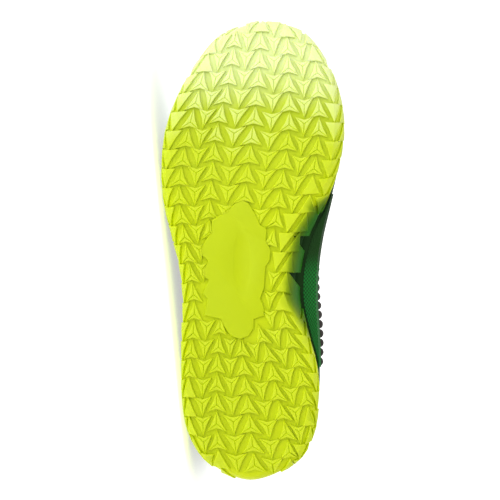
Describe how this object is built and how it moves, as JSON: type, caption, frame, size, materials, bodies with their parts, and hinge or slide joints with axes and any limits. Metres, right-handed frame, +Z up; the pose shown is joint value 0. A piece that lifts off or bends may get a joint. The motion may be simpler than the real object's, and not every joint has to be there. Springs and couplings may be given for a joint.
{
  "type": "basketball shoe",
  "caption": "Right basketball shoe lying on its outer side, rubber cup sole with a herringbone of triangular lugs, foam midsole, laced textile upper with ribbed side panels.",
  "frame": {"origin": "middle of the box round the shoe, on the floor that it lies on", "axes": "-X to the toe, -Y out of the tread, +Z up from the floor, which is the shoe's inner (medial) side"},
  "size_m": [0.2952, 0.1348, 0.1226],
  "materials": {
    "outsole": "glossy moulded yellow-green rubber",
    "midsole": "matt moulded foam, dark green",
    "insole": "brushed textile on foam",
    "upper": "woven textile, emerald green",
    "tongue": "padded textile",
    "heel_counter": "satin moulded cup",
    "eyestay": "smooth synthetic leather",
    "side_ribs_medial": "moulded ribs, dark brown",
    "side_ribs_lateral": "moulded ribs, dark brown",
    "laces": "flat woven lace"
  },
  "bodies": {
    "root": {"outsole": "outsole", "midsole": "midsole", "insole": "insole", "upper": "upper", "tongue": "tongue", "heel_counter": "heel_counter", "eyestay": "eyestay", "side_ribs_medial": "side_ribs_medial", "side_ribs_lateral": "side_ribs_lateral", "laces": "laces"}
  },
  "joints": []
}
